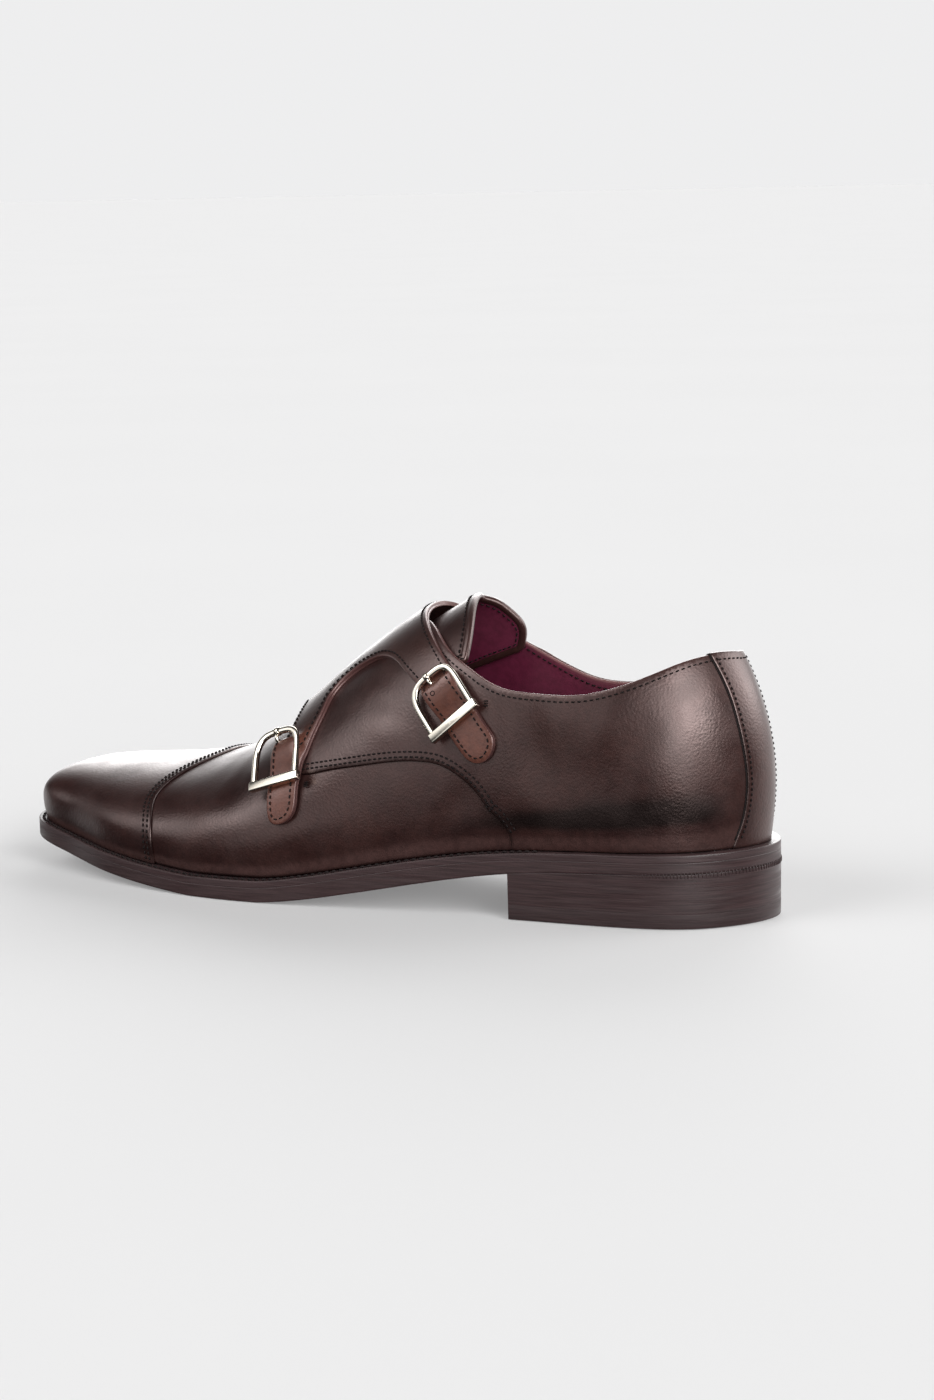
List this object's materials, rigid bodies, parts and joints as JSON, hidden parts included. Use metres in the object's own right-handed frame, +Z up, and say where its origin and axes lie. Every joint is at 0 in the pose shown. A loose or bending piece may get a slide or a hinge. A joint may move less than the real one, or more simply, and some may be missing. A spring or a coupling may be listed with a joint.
{
  "type": "monk strap shoe",
  "caption": "Left double monk strap shoe with a capped chisel toe, low open collar, tongue, buckled strap flap, leather sole and stacked heel.",
  "frame": {"origin": "middle of the bounding box on the floor", "axes": "+X to the toe, +Y to the outer side of this left shoe, +Z up"},
  "size_m": [0.2964, 0.1046, 0.1059],
  "materials": {
    "upper_leather": "dark brown burnished calf, semi-gloss",
    "strap_leather": "dark brown calf with paler cut edges",
    "lining_leather": "burgundy smooth lining leather, satin",
    "sole_leather": "stained and brushed sole edge, satin",
    "heel_rubber": "dark matt rubber",
    "buckle_metal": "pale gold polished plating"
  },
  "bodies": {
    "root": {"outsole": "sole_leather", "welt": "sole_leather", "heel_stack": "sole_leather", "heel_top_lift": "heel_rubber", "insole": "lining_leather", "upper": "upper_leather", "tongue": "upper_leather", "strap_flap": "strap_leather", "buckle_front": "buckle_metal", "prong_front": "buckle_metal", "buckle_rear": "buckle_metal", "prong_rear": "buckle_metal"}
  },
  "joints": []
}
